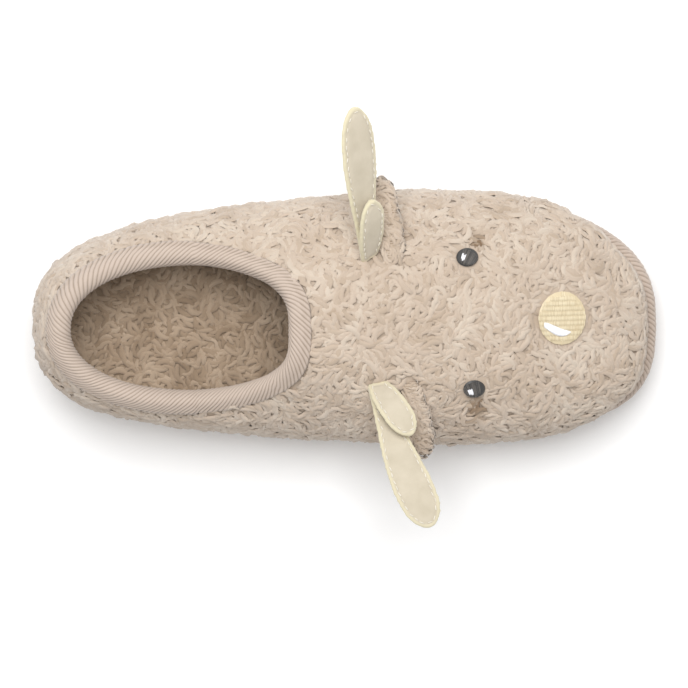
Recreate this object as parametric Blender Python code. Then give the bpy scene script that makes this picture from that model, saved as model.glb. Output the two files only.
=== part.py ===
"""Animal slipper for the left foot, with felt antlers, fleece ears and an embroidered face.

Frame, in metres: the origin is on the floor under the middle of the heel pad, +X runs to the toe,
+Y to the outer side of the foot and +Z up.
"""

import math
from collections import namedtuple

import bmesh
import bpy
from mathutils import Vector

# Sole plan
SOLE_LENGTH = 0.2650
BALL_HALF_WIDTH = 0.0515
END_ROUNDNESS = 0.70
HEEL_BACK = 0.17 * SOLE_LENGTH

# Sole stack and its long curve
OUTSOLE_THICKNESS = 0.0050
OUTSOLE_INSET = 0.0012
BAND_HEIGHT = 0.0112
BAND_BULGE = 0.0008
SIDE_EDGE = 0.0012
TOE_SPRING = 0.0075
HEEL_SPRING = 0.0012
ARCH_RISE = 0.0012
SEAM_GAP = 0.0003

# Grip grooves under the sole
GROOVE_WIDTH = 0.0022
GROOVE_DEPTH = 0.0016
GROOVE_PITCH = 0.0085
GROOVE_WAVE = 0.0016
GROOVE_WAVELENGTH = 0.0260
PAD_RADIUS = 0.0100

# Upper
WALL = 0.0050
FEATHER_INSET = 0.0010
SIDE_OVERHANG = 0.0026
TOE_SETBACK = 0.0052
BULGE_HEIGHT = 0.0100

# Collar opening, along the wall's outer top edge
COLLAR_SETBACK = 0.0090
COLLAR_LENGTH = 0.1010
COLLAR_HALF_WIDTH = 0.0314
COLLAR_SHIFT = -0.0011
COLLAR_HEEL_ROUNDNESS = 0.95
COLLAR_THROAT_ROUNDNESS = 0.62
COLLAR_TURN = 0.60
INSTEP_HEIGHT = 0.0750

# Ribbed tape folded over the collar's edge
TAPE_THICKNESS = 0.0012
TAPE_LEG = 0.0065
TAPE_CROWN = 0.0012

# Fleece footbed
INSOLE_THICKNESS = 0.0045
INSOLE_CLEARANCE = 0.0010

# Felt antlers
FELT_HALF_THICKNESS = 0.0016
BEAM_LENGTH = 0.0720
BEAM_HALF_WIDTH = 0.0090
TINE_LENGTH = 0.0260
TINE_HALF_WIDTH = 0.0066
ROOT_DEPTH = 0.0028

# Fleece ears
EAR_LENGTH = 0.0410
EAR_HALF_WIDTH = 0.0065
EAR_HALF_THICKNESS = 0.0020

# Embroidered face
EYE_HALF_LENGTH = 0.0047
EYE_HALF_WIDTH = 0.0038
NOSE_HALF_LENGTH = 0.0103
NOSE_HALF_WIDTH = 0.0113
STITCH_THICKNESS = 0.0011

# Mesh density
RING_POINTS = 64
UPPER_ROWS = 12
LEAF_SECTIONS = 10
LEAF_POINTS = 12
PATCH_POINTS = 20

# Heights of the stack above the floor where the sole lies flat
BAND_BOTTOM = OUTSOLE_THICKNESS + SEAM_GAP
FEATHER_HEIGHT = BAND_BOTTOM + BAND_HEIGHT + SEAM_GAP

# Lengthwise places, from the shares of the sole's length where its forefoot lies flat
TOE_X = SOLE_LENGTH - HEEL_BACK
ARCH_START_X = 0.30 * SOLE_LENGTH - HEEL_BACK
FOREFOOT_START_X = 0.49 * SOLE_LENGTH - HEEL_BACK
FOREFOOT_END_X = 0.64 * SOLE_LENGTH - HEEL_BACK
FOREFOOT_PAD_X = (FOREFOOT_START_X + FOREFOOT_END_X) / 2
THROAT_X = COLLAR_SETBACK - HEEL_BACK + COLLAR_LENGTH

# Places on the vamp, between the throat and the toe
VAMP_LENGTH = TOE_X - THROAT_X
ANTLER_X = THROAT_X + 0.187 * VAMP_LENGTH
EAR_X = THROAT_X + 0.242 * VAMP_LENGTH
OUTER_EYE = (THROAT_X + 0.464 * VAMP_LENGTH, 0.563 * BALL_HALF_WIDTH)
INNER_EYE = (THROAT_X + 0.484 * VAMP_LENGTH, -0.509 * BALL_HALF_WIDTH)
NOSE = (THROAT_X + 0.725 * VAMP_LENGTH, 0.058 * BALL_HALF_WIDTH)

# Sole outline: share of the length, half width and sideways shift as shares of BALL_HALF_WIDTH
Plan = namedtuple("Plan", "along half_width shift")
PLAN = (
    Plan(0.0, 0.97, -0.050),
    Plan(0.2, 0.93, -0.014),
    Plan(0.4, 0.93, 0.000),
    Plan(0.6, 1.00, 0.018),
    Plan(0.8, 1.095, 0.010),
    Plan(1.0, 1.20, -0.075),
)

# Upper by direction, 0 at the heel and 1 at the toe: powers and end angle of the arc that each
# wall line follows from the sole to the collar, and the collar's height share of INSTEP_HEIGHT
Wall = namedtuple("Wall", "along plan_power rise_power arc_end collar_height")
WALLS = (
    Wall(0.0, 1.00, 1.00, 52.0, 0.88),
    Wall(0.2, 1.00, 1.00, 54.0, 0.81),
    Wall(0.4, 1.00, 1.00, 60.0, 0.79),
    Wall(0.6, 1.05, 1.05, 70.0, 0.88),
    Wall(0.8, 1.20, 1.20, 78.0, 0.97),
    Wall(1.0, 1.25, 1.25, 80.0, 1.00),
)

# Leaf outline at even shares of its length, as shares of its half width, before its tip is rounded
Leaf = namedtuple("Leaf", "width")
BEAM_LEAF = (Leaf(0.42), Leaf(0.54), Leaf(0.82), Leaf(1.0), Leaf(0.80))
TINE_LEAF = (Leaf(0.50), Leaf(0.85), Leaf(1.0), Leaf(1.0), Leaf(0.92))
EAR_LEAF = (Leaf(0.78), Leaf(0.95), Leaf(1.0), Leaf(0.90), Leaf(0.70))

# Where each soft leaf is sewn on, as shifts along X and shares of BALL_HALF_WIDTH across, then the
# control point and tip of its curve as shares of its length, and the way its face looks
Pose = namedtuple("Pose", "shift across bend tip face")
OUTER_BEAM = Pose(0.001, 0.565, (-0.030, 0.34, 0.26), (-0.080, 0.91, 0.35), (0.60, -0.30, 0.75))
OUTER_TINE = Pose(0.001, 0.565, (0.06, 0.44, 0.56), (0.06, 1.04, 0.74), (0.60, -0.45, 0.66))
INNER_BEAM = Pose(0.004, -0.465, (0.11, -0.38, 0.27), (0.33, -0.81, 0.34), (0.10, 0.25, 0.95))
INNER_TINE = Pose(0.004, -0.465, (0.22, -0.24, 0.52), (0.60, -0.80, 0.68), (0.10, 0.35, 0.90))
OUTER_EAR = Pose(0.0034, 0.445, (-0.09, 0.48, -0.01), (-0.12, 0.98, -0.16), (-0.30, 0.10, 0.94))
INNER_EAR = Pose(0.007, -0.360, (0.13, -0.45, 0.01), (0.24, -0.90, -0.20), (-0.30, -0.05, 0.94))

Finish = namedtuple("Finish", "colour roughness")
FLEECE = Finish((0.62, 0.50, 0.41), 0.95)
RIB_TAPE = Finish((0.55, 0.44, 0.37), 0.85)
FELT = Finish((0.71, 0.66, 0.54), 0.92)
GREY_THREAD = Finish((0.08, 0.08, 0.085), 0.45)
CREAM_THREAD = Finish((0.80, 0.69, 0.49), 0.50)
SOLE_RUBBER = Finish((0.45, 0.37, 0.30), 0.60)


def clear_scene():
    for old in list(bpy.data.objects):
        bpy.data.objects.remove(old, do_unlink=True)


def new_collection(name):
    made = bpy.data.collections.new(name)
    bpy.context.scene.collection.children.link(made)
    return made


def material(name, finish):
    made = bpy.data.materials.new(name)
    made.use_nodes = True
    shader = made.node_tree.nodes["Principled BSDF"]
    shader.inputs["Base Color"].default_value = (*finish.colour, 1.0)
    shader.inputs["Roughness"].default_value = finish.roughness
    return made


def read_table(rows, column, share):
    """A column of an evenly stepped table at this share, along a smooth curve through its rows."""
    values = [getattr(row, column) for row in rows]
    place = min(max(share, 0.0), 1.0) * (len(values) - 1)
    first = min(int(place), len(values) - 2)
    t = place - first
    before = values[max(first - 1, 0)]
    start, end = values[first], values[first + 1]
    after = values[min(first + 2, len(values) - 1)]
    rise_start, rise_end = (end - before) / 2, (after - start) / 2
    return (
        start * (2 * t**3 - 3 * t**2 + 1)
        + rise_start * (t**3 - 2 * t**2 + t)
        + end * (3 * t**2 - 2 * t**3)
        + rise_end * (t**3 - t**2)
    )


def smooth_step(value):
    t = min(max(value, 0.0), 1.0)
    return t * t * (3 - 2 * t)


def sole_outline(angle):
    """Plan point of the sole's edge: angle 0 is the heel, a quarter turn the outer side, a half the toe."""
    along = (1 - math.cos(angle)) / 2
    half = BALL_HALF_WIDTH * read_table(PLAN, "half_width", along)
    shift = BALL_HALF_WIDTH * read_table(PLAN, "shift", along)
    side = math.sin(angle)
    width = math.copysign(abs(side) ** END_ROUNDNESS, side) * half
    return Vector((along * SOLE_LENGTH - HEEL_BACK, shift + width, 0.0))


def sole_outward(angle):
    """Unit vector out of the sole's outline, in plan."""
    step = 0.01
    run = sole_outline(angle + step) - sole_outline(angle - step)
    return Vector((-run.y, run.x, 0.0)).normalized()


def grown_outline(angle, grow):
    return sole_outline(angle) + sole_outward(angle) * grow


def sole_lift(x):
    """How far toe spring and heel spring raise the whole sole above the floor at this length."""
    toe = max(0.0, (x - FOREFOOT_END_X) / (TOE_X - FOREFOOT_END_X))
    heel = max(0.0, -2 * x / HEEL_BACK - 1)
    return TOE_SPRING * toe**2 + HEEL_SPRING * heel**2


def arch_lift(x):
    """Extra rise of the underside alone, at the waist between heel pad and forefoot."""
    share = (x - ARCH_START_X) / (FOREFOOT_START_X - ARCH_START_X)
    return ARCH_RISE * math.sin(math.pi * min(max(share, 0.0), 1.0)) ** 2


def overhang(angle):
    """How far the fleece bulges past the sole: out at the sides, back at the toe."""
    along = (1 - math.cos(angle)) / 2
    share = smooth_step((along - 0.80) / 0.20)
    return SIDE_OVERHANG - (SIDE_OVERHANG + TOE_SETBACK) * share


def collar_outline(angle):
    """Plan point of the wall's outer top edge that the wall line at this angle runs to."""
    turned = angle + COLLAR_TURN * math.sin(angle)
    along = (1 - math.cos(turned)) / 2
    side = math.sin(turned)
    power = COLLAR_HEEL_ROUNDNESS + (COLLAR_THROAT_ROUNDNESS - COLLAR_HEEL_ROUNDNESS) * along
    width = math.copysign(abs(side) ** power, side) * COLLAR_HALF_WIDTH
    return Vector((THROAT_X - (1 - along) * COLLAR_LENGTH, COLLAR_SHIFT + width, 0.0))


def direction_share(angle):
    """0 at the heel, 1 at the toe, the same on both sides."""
    turn = angle % (2 * math.pi)
    return min(turn, 2 * math.pi - turn) / math.pi


def upper_point(angle, v):
    """Outer surface of the upper: v is -1 at the sole, 0 at the widest line and 1 at the collar."""
    widest = grown_outline(angle, overhang(angle))
    feather = grown_outline(angle, -FEATHER_INSET)
    feather.z = FEATHER_HEIGHT + sole_lift(feather.x)
    widest.z = FEATHER_HEIGHT + BULGE_HEIGHT + sole_lift(widest.x)
    if v <= 0:
        arc = (1 + v) * math.pi / 2
        point = feather.lerp(widest, math.sin(arc))
        point.z = feather.z + (widest.z - feather.z) * (1 - math.cos(arc))
        return point
    share = direction_share(angle)
    end = math.radians(read_table(WALLS, "arc_end", share))
    plan_power = read_table(WALLS, "plan_power", share)
    rise_power = read_table(WALLS, "rise_power", share)
    inward = (1 - math.cos(v * end) ** plan_power) / (1 - math.cos(end) ** plan_power)
    rise = (math.sin(v * end) / math.sin(end)) ** rise_power
    collar = collar_outline(angle)
    collar.z = INSTEP_HEIGHT * read_table(WALLS, "collar_height", share)
    point = widest.lerp(collar, inward)
    point.z = widest.z + (collar.z - widest.z) * rise
    return point


def upper_frame(angle, v):
    """Unit vectors at a point of the upper: out of it, and up it towards the collar."""
    step = 0.02
    low, high = max(v - step, 0.0), min(max(v, 0.0) + step, 1.0)
    up = (upper_point(angle, high) - upper_point(angle, low)).normalized()
    round_step = upper_point(angle + step, max(v, 0.0)) - upper_point(angle - step, max(v, 0.0))
    out = up.cross(round_step).normalized()
    if v <= 0:
        out.z = 0.0
        out.normalize()
    return out, up


def wall_point(angle, v, depth, beyond=0.0):
    """A point this deep under the outer surface, and this far past the collar's edge."""
    out, up = upper_frame(angle, v)
    return upper_point(angle, v) - out * depth + up * beyond


def tape_end(angle):
    """v where the tape's leg ends, TAPE_LEG down the wall from the collar."""
    low, high = 0.0, 1.0
    edge = upper_point(angle, 1.0)
    for _ in range(24):
        middle = (low + high) / 2
        if (upper_point(angle, middle) - edge).length > TAPE_LEG:
            low = middle
        else:
            high = middle
    return low


def surface_place(x, y):
    """(angle, v) of the upper's outer surface above a plan point, by Newton steps from the vamp."""
    angle = math.pi - math.atan2(y, x - THROAT_X / 2)
    v = 0.5
    step = 0.001
    for _ in range(40):
        here = upper_point(angle, v)
        miss = Vector((x - here.x, y - here.y))
        if miss.length < 1e-7:
            break
        by_angle = (upper_point(angle + step, v) - here) / step
        by_v = (upper_point(angle, v + step) - here) / step
        spread = by_angle.x * by_v.y - by_angle.y * by_v.x
        move_angle = (miss.x * by_v.y - miss.y * by_v.x) / spread
        move_v = (by_angle.x * miss.y - by_angle.y * miss.x) / spread
        angle += max(-0.3, min(0.3, move_angle))
        v = max(0.02, min(0.97, v + max(-0.15, min(0.15, move_v))))
    return angle, v


def ring(point_at):
    """One closed ring of points round the shoe, from a function of the angle."""
    return [point_at(2 * math.pi * i / RING_POINTS) for i in range(RING_POINTS)]


def add_object(name, mesh, collection, finish=None):
    made = bpy.data.objects.new(name, mesh)
    collection.objects.link(made)
    if finish:
        mesh.materials.append(finish)
    return made


def mesh_from(name, build, smooth_angle=40.0):
    """A mesh made by build(bmesh), closed and facing out, with its sharp edges marked."""
    shape = bmesh.new()
    build(shape)
    bmesh.ops.recalc_face_normals(shape, faces=shape.faces)
    mesh = bpy.data.meshes.new(name)
    shape.to_mesh(mesh)
    shape.free()
    mesh.shade_smooth()
    mesh.set_sharp_from_angle(angle=math.radians(smooth_angle))
    return mesh


def bridge(shape, lower, upper):
    """Quads between two closed rows of vertices with the same count."""
    count = len(lower)
    for i in range(count):
        j = (i + 1) % count
        shape.faces.new((lower[i], lower[j], upper[j], upper[i]))


def ring_loft(rows):
    """A closed loft through rings that start and end on each other, such as a wall round a hollow."""

    def build(shape):
        made = [[shape.verts.new(point) for point in row] for row in rows]
        for lower, upper in zip(made, made[1:] + made[:1]):
            bridge(shape, lower, upper)

    return build


def slab_loft(rows):
    """A loft through outline rings, closed by bottom and top faces that run straight across."""

    def cap(shape, row):
        count = len(row)
        middle = count // 2
        shape.faces.new((row[0], row[1], row[-1]))
        for i in range(1, middle - 1):
            shape.faces.new((row[i], row[i + 1], row[count - i - 1], row[count - i]))
        shape.faces.new((row[middle - 1], row[middle], row[middle + 1]))

    def build(shape):
        made = [[shape.verts.new(point) for point in row] for row in rows]
        for lower, upper in zip(made, made[1:]):
            bridge(shape, lower, upper)
        cap(shape, made[0])
        cap(shape, made[-1])

    return build


def sole_ring(grow, height_at):
    """The sole's outline grown in plan, at a height that follows its length."""

    def point_at(angle):
        point = grown_outline(angle, grow)
        point.z = height_at(point.x)
        return point

    return ring(point_at)


def groove_cutter(name, middle_x, half_length, collection):
    """One wavy bar across the sole, which cuts a grip groove into its underside."""
    steps = 20
    half_width = GROOVE_WIDTH / 2
    top = GROOVE_DEPTH + sole_lift(middle_x) + arch_lift(middle_x)

    def build(shape):
        rows = []
        for i in range(steps + 1):
            y = half_length * (2 * i / steps - 1)
            x = middle_x + GROOVE_WAVE * math.sin(2 * math.pi * y / GROOVE_WAVELENGTH)
            corners = (
                (x - half_width, -GROOVE_DEPTH),
                (x + half_width, -GROOVE_DEPTH),
                (x + half_width, top),
                (x - half_width, top),
            )
            rows.append([shape.verts.new((cx, y, cz)) for cx, cz in corners])
        for lower, upper in zip(rows, rows[1:]):
            bridge(shape, lower, upper)
        shape.faces.new(rows[0])
        shape.faces.new(rows[-1])

    return cutter(add_object(name, mesh_from(name, build), collection))


def cutter(made):
    made.hide_render = True
    made.display_type = "WIRE"
    return made


def boolean(made, operation, other):
    modifier = made.modifiers.new(other.name, "BOOLEAN")
    modifier.operation = operation
    modifier.solver = "EXACT"
    modifier.object = other


def clear_of_pads(x):
    """Whether a groove here keeps off the two flat pads that the slipper is measured from."""
    reach = PAD_RADIUS + GROOVE_WAVE + GROOVE_WIDTH
    return all(abs(x - pad) > reach for pad in (0.0, FOREFOOT_PAD_X))


def build_outsole(parts, cutters, finish):
    under = lambda x: sole_lift(x) + arch_lift(x)
    over = lambda x: OUTSOLE_THICKNESS + sole_lift(x)
    rows = (
        sole_ring(-OUTSOLE_INSET - SIDE_EDGE, under),
        sole_ring(-OUTSOLE_INSET, lambda x: under(x) + SIDE_EDGE),
        sole_ring(-OUTSOLE_INSET, over),
    )
    outsole = add_object("outsole", mesh_from("outsole", slab_loft(rows)), parts, finish)
    for i in range(2, int(SOLE_LENGTH / GROOVE_PITCH) - 2):
        x = i * GROOVE_PITCH - HEEL_BACK
        waist = ARCH_START_X < x < FOREFOOT_START_X
        if waist or not clear_of_pads(x):
            continue
        boolean(outsole, "DIFFERENCE", groove_cutter(f"groove_{i}", x, 1.2 * BALL_HALF_WIDTH, cutters))
    return outsole


def build_midsole_band(parts, finish):
    low = lambda x: BAND_BOTTOM + sole_lift(x)
    high = lambda x: BAND_BOTTOM + BAND_HEIGHT + sole_lift(x)
    rows = (
        sole_ring(-SIDE_EDGE, low),
        sole_ring(0.0, lambda x: low(x) + SIDE_EDGE),
        sole_ring(BAND_BULGE, lambda x: (low(x) + high(x)) / 2),
        sole_ring(0.0, lambda x: high(x) - SIDE_EDGE),
        sole_ring(-SIDE_EDGE, high),
    )
    return add_object("midsole_band", mesh_from("midsole_band", slab_loft(rows)), parts, finish)


def wall_rows(outer_depth, inner_depth):
    """Rings up the outside of the upper and down its inside, between two depths under its surface."""
    lower = [-1.0, -0.6, -0.3]
    upper = [i / UPPER_ROWS for i in range(UPPER_ROWS + 1)]
    heights = lower + upper
    outside = [ring(lambda a, v=v: wall_point(a, v, outer_depth)) for v in heights]
    inside = [ring(lambda a, v=v: wall_point(a, v, inner_depth)) for v in reversed(heights)]
    return outside + inside


def build_upper(parts, finish):
    mesh = mesh_from("upper", ring_loft(wall_rows(0.0, WALL)))
    return add_object("upper", mesh, parts, finish)


def build_collar_binding(parts, finish):
    """Ribbed tape in a U over the collar's edge, with legs on both sides of the wall."""
    inner, outer = SEAM_GAP, SEAM_GAP + TAPE_THICKNESS
    far, farther = WALL + inner, WALL + outer
    radius = WALL / 2 + outer

    def leg(depth, share):
        return ring(lambda a: wall_point(a, 1 - (1 - tape_end(a)) * share, depth))

    def crown(turn):
        rise = (outer + TAPE_CROWN) * math.sin(turn)
        depth = WALL / 2 - radius * math.cos(turn)
        return ring(lambda a: wall_point(a, 1.0, depth, rise))

    rows = [leg(-inner, 1.0), leg(-outer, 1.0), leg(-outer, 0.5), leg(-outer, 0.0)]
    rows += [crown(math.radians(turn)) for turn in (40, 90, 140)]
    rows += [leg(farther, 0.0), leg(farther, 0.5), leg(farther, 1.0), leg(far, 1.0), leg(far, 0.5)]
    rows += [ring(lambda a: wall_point(a, 1.0, far, inner))]
    rows += [ring(lambda a: wall_point(a, 1.0, -inner, inner))]
    rows += [leg(-inner, 0.5)]
    mesh = mesh_from("collar_binding", ring_loft(rows))
    return add_object("collar_binding", mesh, parts, finish)


def build_insole(parts, finish):
    """The footbed fills the upper's lower edge, so its side follows the inside of the wall."""

    def inner_ring(height, inset):
        v = math.acos(1 - height / BULGE_HEIGHT) * 2 / math.pi - 1
        return ring(lambda a: wall_point(a, v, WALL + INSOLE_CLEARANCE + inset))

    rows = (
        inner_ring(0.0, 0.0),
        inner_ring(INSOLE_THICKNESS - SIDE_EDGE, 0.0),
        inner_ring(INSOLE_THICKNESS, SIDE_EDGE),
    )
    return add_object("insole", mesh_from("insole", slab_loft(rows)), parts, finish)


def surface_anchor(x, y):
    """Point of the upper's surface above a plan point, and the way out of it."""
    angle, v = surface_place(x, y)
    return upper_point(angle, v), upper_frame(angle, v)[0]


def leaf_loft(root, pose, table, length, half_width, half_thickness, cup):
    """A soft flat leaf: flat oval sections along a curve from its root to its rounded tip."""
    bend, tip = root + Vector(pose.bend) * length, root + Vector(pose.tip) * length
    face = Vector(pose.face).normalized()
    tip_share = half_width / length

    def section(share):
        centre = root * (1 - share) ** 2 + bend * 2 * share * (1 - share) + tip * share**2
        run = (bend - root) * (1 - share) + (tip - bend) * share
        side = run.cross(face).normalized()
        up = side.cross(run).normalized()
        into_tip = max(0.0, (share - 1 + tip_share) / tip_share)
        rounding = math.sqrt(max(1 - into_tip**2, 0.05))
        width = half_width * read_table(table, "width", share) * rounding
        points = []
        for i in range(LEAF_POINTS):
            turn = 2 * math.pi * i / LEAF_POINTS
            across = math.copysign(abs(math.cos(turn)) ** 0.7, math.cos(turn))
            lift = half_thickness * math.sin(turn) + cup * across**2 * rounding
            points.append(centre + side * width * across + up * lift)
        return points

    def build(shape):
        shares = [1 - (1 - i / LEAF_SECTIONS) ** 1.8 for i in range(LEAF_SECTIONS + 1)]
        made = [[shape.verts.new(point) for point in section(share)] for share in shares]
        for lower, upper in zip(made, made[1:]):
            bridge(shape, lower, upper)
        shape.faces.new(made[0])
        shape.faces.new(made[-1])

    return build


def leaf_root(x, pose):
    """Where a leaf starts, sunk into the wall so that the cut against it leaves a snug seat."""
    seat, out = surface_anchor(x + pose.shift, pose.across * BALL_HALF_WIDTH)
    return seat - out * ROOT_DEPTH


def build_antler(name, beam, tine, parts, cutters, finish, clearance):
    """A felt antler: a long beam and a short tine in one piece, sewn to the upper at its root."""
    root = leaf_root(ANTLER_X, beam)
    felt = FELT_HALF_THICKNESS
    beam_build = leaf_loft(root, beam, BEAM_LEAF, BEAM_LENGTH, BEAM_HALF_WIDTH, felt, 0.4 * felt)
    tine_build = leaf_loft(root, tine, TINE_LEAF, TINE_LENGTH, TINE_HALF_WIDTH, felt, 0.6 * felt)
    antler = add_object(name, mesh_from(name, beam_build), parts, finish)
    branch = cutter(add_object(f"{name}_tine", mesh_from(f"{name}_tine", tine_build), cutters))
    boolean(antler, "UNION", branch)
    boolean(antler, "DIFFERENCE", clearance)
    return antler


def build_ear(name, pose, parts, finish, clearance):
    """A folded fleece ear on the toe side of an antler, with its edges hanging."""
    root = leaf_root(EAR_X, pose)
    droop = -0.6 * EAR_HALF_THICKNESS
    build = leaf_loft(root, pose, EAR_LEAF, EAR_LENGTH, EAR_HALF_WIDTH, EAR_HALF_THICKNESS, droop)
    ear = add_object(name, mesh_from(name, build), parts, finish)
    boolean(ear, "DIFFERENCE", clearance)
    return ear


def build_patch(name, x, y, half_length, half_width, parts, finish):
    """A domed oval of embroidery that follows the upper's surface, a seam gap above it."""

    def layer(share, height):
        points = []
        for i in range(PATCH_POINTS):
            turn = 2 * math.pi * i / PATCH_POINTS
            place = surface_place(
                x + half_length * share * math.cos(turn), y + half_width * share * math.sin(turn)
            )
            points.append(wall_point(*place, -height))
        return points

    low, high = SEAM_GAP, SEAM_GAP + STITCH_THICKNESS
    rows = [layer(0.45, low), layer(0.97, low), layer(1.0, (low + high) / 2), layer(0.85, high)]
    rows += [layer(0.45, high)]

    def build(shape):
        made = [[shape.verts.new(point) for point in row] for row in rows]
        for lower, upper in zip(made, made[1:]):
            bridge(shape, lower, upper)
        centre = surface_place(x, y)
        for row, height in ((made[0], low), (made[-1], high)):
            pole = shape.verts.new(wall_point(*centre, -height))
            for i in range(PATCH_POINTS):
                shape.faces.new((row[i], row[(i + 1) % PATCH_POINTS], pole))

    return add_object(name, mesh_from(name, build), parts, finish)


def main():
    clear_scene()
    parts = new_collection("animal_slipper")
    cutters = new_collection("cutters")
    fleece = material("fleece", FLEECE)
    tape = material("rib_tape", RIB_TAPE)
    felt = material("felt", FELT)
    grey = material("grey_thread", GREY_THREAD)
    cream = material("cream_thread", CREAM_THREAD)
    rubber = material("sole_rubber", SOLE_RUBBER)
    build_outsole(parts, cutters, rubber)
    build_midsole_band(parts, tape)
    build_upper(parts, fleece)
    build_collar_binding(parts, tape)
    build_insole(parts, fleece)
    near_wall = mesh_from("upper_clearance", ring_loft(wall_rows(-SEAM_GAP, 1.8 * WALL)))
    clearance = cutter(add_object("upper_clearance", near_wall, cutters))
    build_antler("antler_outer", OUTER_BEAM, OUTER_TINE, parts, cutters, felt, clearance)
    build_antler("antler_inner", INNER_BEAM, INNER_TINE, parts, cutters, felt, clearance)
    build_ear("ear_outer", OUTER_EAR, parts, fleece, clearance)
    build_ear("ear_inner", INNER_EAR, parts, fleece, clearance)
    eye = (EYE_HALF_LENGTH, EYE_HALF_WIDTH, parts, grey)
    build_patch("eye_outer", *OUTER_EYE, *eye)
    build_patch("eye_inner", *INNER_EYE, *eye)
    nose = (NOSE_HALF_LENGTH, NOSE_HALF_WIDTH, parts, cream)
    build_patch("nose", *NOSE, *nose)


main()
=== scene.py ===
"""Looks of the left animal slipper: curly fleece, ribbed tapes, felt antlers and an embroidered face.

Metres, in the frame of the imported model: heel pad at the origin, +X to the toe, +Y to the outer side.
"""

import math

import bmesh
import bpy
import numpy as np
from mathutils import Matrix, Vector, kdtree, noise
from mathutils.bvhtree import BVHTree


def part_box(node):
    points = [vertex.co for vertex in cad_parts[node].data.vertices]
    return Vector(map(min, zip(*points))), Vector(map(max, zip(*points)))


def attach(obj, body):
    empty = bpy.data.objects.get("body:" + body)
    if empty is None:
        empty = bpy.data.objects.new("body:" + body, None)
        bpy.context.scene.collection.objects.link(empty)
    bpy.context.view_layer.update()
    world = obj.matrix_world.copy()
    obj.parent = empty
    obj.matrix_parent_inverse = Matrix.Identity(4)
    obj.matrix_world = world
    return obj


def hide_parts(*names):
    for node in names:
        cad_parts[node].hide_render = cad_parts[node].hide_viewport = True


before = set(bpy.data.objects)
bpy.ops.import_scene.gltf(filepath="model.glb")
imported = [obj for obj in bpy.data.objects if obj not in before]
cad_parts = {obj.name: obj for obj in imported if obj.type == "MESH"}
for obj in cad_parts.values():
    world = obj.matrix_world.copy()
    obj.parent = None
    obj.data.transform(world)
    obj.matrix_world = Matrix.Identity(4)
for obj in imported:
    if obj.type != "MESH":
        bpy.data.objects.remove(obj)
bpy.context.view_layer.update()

MM = 0.001
# Each set of random draws adds its own number to this one
SEED = 11
# noise_vector, which the lie of the pile follows, is seeded by the clock unless it is told
noise.seed_set(SEED)

# Fleece pile
CURL_LENGTH = 8.4 * MM
CURL_WIDTH = 0.25
CURL_SPACING = 1.78 * MM
CURL_RINGS = 5
CURL_ARCH = 0.14
PILE_SOFTNESS = 0.5
CLUMP_SIZE = 5 * MM
CLUMP_HEIGHT = 0.55 * MM
FLOW_SIZE = 15 * MM
LUMP_SIZE = 14 * MM
LUMP_HEIGHT = 0.9 * MM
SHAVED_REACH = 7 * MM
TOE_RIM_START = 165 * MM
TOE_RIM_HEIGHT = 11 * MM
TOE_RIM_SETBACK = 1.7 * MM
HOLLOW_DEPTH = 2.6 * MM
# The fleece sinks in these hollows by the eyes, and its curls there take painted shade
HOLLOWS = (
    (141.0 * MM, 35.5 * MM, 6.0 * MM),
    (142.0 * MM, -34.8 * MM, 7.0 * MM),
)
LINING_SPACING = 2.3 * MM
EAR_CURL_SPACING = 1.5 * MM
EAR_CURL_LENGTH = 5.6 * MM

# Ribbed tapes
RIB_PITCH = 2.1 * MM
RIB_HEIGHT = 0.5 * MM
RIB_SLANT = 1.0
HEEL_RIB_SLANT = 0.3
BAND_RIB_SLANT = 0.8
RIB_SAMPLES = 7
TAPE_BODY = 1.0 * MM
SEAM_FROM_EDGE = 3.0 * MM

# Felt and threads
FELT_VOXEL = 0.7 * MM
FELT_STITCH_INSET = 2.0 * MM
FELT_STITCH_LENGTH = 2.0 * MM
THREAD_WIDTH = 0.42 * MM
NOSE_STITCH_LENGTH = 2.1 * MM
EYE_LONG_HALF = 4.6 * MM
EYE_SHORT_HALF = 3.4 * MM
OUTER_EYE_TILT = math.radians(-25)
INNER_EYE_TILT = math.radians(16)
OUTER_ANTLER_FACE = (0.60, -0.30, 0.75)
INNER_ANTLER_FACE = (0.10, 0.25, 0.95)

# Camera and light
CAMERA_DISTANCE = 1.4
CAMERA_LEAN = math.radians(5.5)
CAMERA_TARGET = (0.085, -0.0109, 0.025)
FRAME_WIDTH = 0.2986
SENSOR_WIDTH = 36
SKY_STRENGTH = 0.6
KEY_PLACE = (0.03, 0.48, 1.25)
KEY_AIM = (0.085, 0, 0.03)
KEY_SIZE = 0.8
KEY_POWER = 15.5


def colour(code):
    """Linear colour of an sRGB hex value."""
    parts = [int(code[i : i + 2], 16) / 255 for i in (1, 3, 5)]
    return tuple(c / 12.92 if c <= 0.04045 else ((c + 0.055) / 1.055) ** 2.4 for c in parts) + (1.0,)


def add_node(tree, kind, inputs=None, **settings):
    """A shader node with its settings, and its inputs linked or set."""
    node = tree.nodes.new(kind)
    for name, value in settings.items():
        setattr(node, name, value)
    for name, value in (inputs or {}).items():
        if isinstance(value, bpy.types.NodeSocket):
            tree.links.new(value, node.inputs[name])
        else:
            node.inputs[name].default_value = value
    return node


def new_material(name):
    """A material, its node tree and its shader."""
    made = bpy.data.materials.new(name)
    made.use_nodes = True
    tree = made.node_tree
    return made, tree, tree.nodes["Principled BSDF"]


def set_ramp(node, *stops):
    """A colour ramp with these stops, each a place and a colour."""
    ramp = node.color_ramp
    while len(ramp.elements) < len(stops):
        ramp.elements.new(0.5)
    for element, (place, value) in zip(ramp.elements, stops):
        element.position = place
        element.color = value
    return node


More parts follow.
